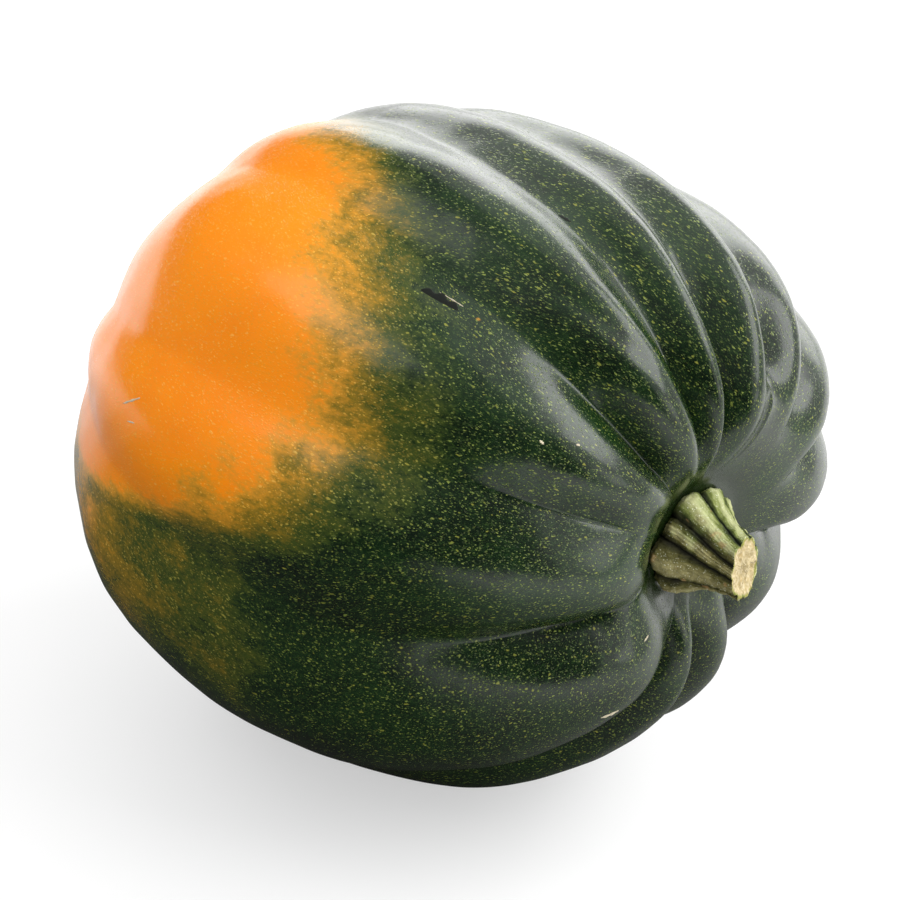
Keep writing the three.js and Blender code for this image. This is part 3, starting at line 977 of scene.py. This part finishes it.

# %% [markdown]
# ## The stalk's finish
#
# The stalk is matt and fibrous. Its ridges are pale green with a bloom of fine hairs, and its
# furrows are painted dark: partly their own dark green, partly painted shade. One side of it is
# browner and darker. The cut face is cream with a green rim.

# %% Stalk recipe
def stalk_recipe():
    """Green and brown bark, pale ridges, furrows darkened by painted shade, and the cream cut face."""
    made = new_material("stalk_skin")
    here = Wire.node("ShaderNodeTexCoord", output="Object")
    place = Wire.node("ShaderNodeVectorMath", {"operation": "SCALE"}, {0: here, "Scale": 1000.0})
    grain_at = attribute("grain", "Vector")
    crest = attribute("crest")
    cut = attribute("cut")
    brown_side = attribute("brown")
    fibre = noise(grain_at, 0.8, 3, 0.6)
    cloud = noise(place, 4, 3)

    # painted shade: the colour runs from near black deep in the furrows to pale on the ridges, partly the
    # bark's own colour
    ridge = crest + fibre * 0.9 + cloud * 0.4
    green_and_furrow_shade_stops = [
        (0.0, paint(20, 28, 6)), (0.3, paint(66, 78, 26)), (0.65, paint(122, 132, 66)),
        (1.0, paint(190, 194, 142)),
    ]
    brown_and_furrow_shade_stops = [
        (0.0, paint(24, 22, 6)), (0.35, paint(58, 54, 20)), (0.7, paint(88, 80, 38)),
        (1.0, paint(134, 124, 78)),
    ]
    bark = ramp(between(ridge, 0.0, 1.15), green_and_furrow_shade_stops)
    brown_bark = ramp(between(ridge, 0.0, 1.15), brown_and_furrow_shade_stops)
    bark = blended(between(brown_side + cloud * 1.2, 0.35, 0.85) * 0.85, bark, brown_bark)
    tan = between(noise(place, 3.2, 2), 0.12, 0.2)
    bark = blended(tan * 0.5, bark, paint(178, 140, 88))
    hairs, hair_chance = flecks(shaken(place, 0.5, 0.4), 0.3, -0.1, 0.42, 0.12)
    bark = blended(hairs * hair_chance * between(crest, 0.3, 0.8) * 0.9, bark, paint(222, 224, 200))

    grit = between(noise(place, 0.5, 3), -0.2, 0.3)
    face = blended(grit, paint(176, 158, 112), paint(214, 200, 164))
    face = blended(between(noise(place, 1.8, 2), 0.05, 0.25) * 0.5, face, paint(206, 176, 118))
    rim = blended(between(noise(place, 1.5, 2), -0.1, 0.2), paint(150, 146, 70), paint(96, 112, 40))
    face = blended(between(cut + fibre * 0.1, 0.16, 0.06), face, rim)
    colour = blended(between(cut, 0.015, 0.05), bark, face)

    relief = fibre * 0.5 + noise(place, 0.5, 3) * 0.3
    bump = Wire.node("ShaderNodeBump", inputs={"Height": relief, "Strength": 0.9, "Distance": 0.0008})
    finish_material(Wire.node("ShaderNodeBsdfPrincipled", inputs={
        "Base Color": colour, "Roughness": 0.75 + fibre * 0.1, "Specular IOR Level": 0.3, "Normal": bump}))
    return made


# the angle round the stalk of its browner, darker side
BROWN_SIDE = math.radians(200)
placed_stalk = in_frame(stalk_points)
stem = mesh_object("stem_stalk", placed_stalk, stalk_faces, stalk_recipe())
stem.data.polygons.foreach_set("use_smooth", np.ones(len(stem.data.polygons), bool))
GRAIN_RADIUS, GRAIN_SHARE = 7, 0.2      # as on the fruit: mm off the axis, and the share of the length
stalk_grain = np.stack([GRAIN_RADIUS * np.cos(stalk_phi), GRAIN_RADIUS * np.sin(stalk_phi),
                        GRAIN_SHARE * STALK_LENGTH * stalk_along], -1)
keep(stem.data, "crest", "FLOAT", with_ends(stalk_crest, 0.0, 1.0))
keep(stem.data, "cut", "FLOAT", with_ends(stalk_cut, 0.0, 1.0))
brown = 0.5 + 0.5 * np.cos(stalk_phi - BROWN_SIDE)
keep(stem.data, "brown", "FLOAT", with_ends(brown, 0.0, 0.0))
keep(stem.data, "grain", "FLOAT_VECTOR", with_ends(stalk_grain, [0, 0, 0], [0, 0, 3]))
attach(stem, "root")
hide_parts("stem")
print("stem_stalk:", len(stem.data.polygons), "faces")

# %% [markdown]
# ## Last check
#
# The fine meshes have to stay inside the frame's box, so both boxes are printed side by side.

# %% Sizes
visual_low, visual_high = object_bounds()
sizes = {"cad": [list(CAD_LOW), list(CAD_HIGH)], "visual": [list(visual_low), list(visual_high)]}
for name, box in sizes.items():
    print(name, "box in mm:", [[round(1000 * value, 2) for value in corner] for corner in box])
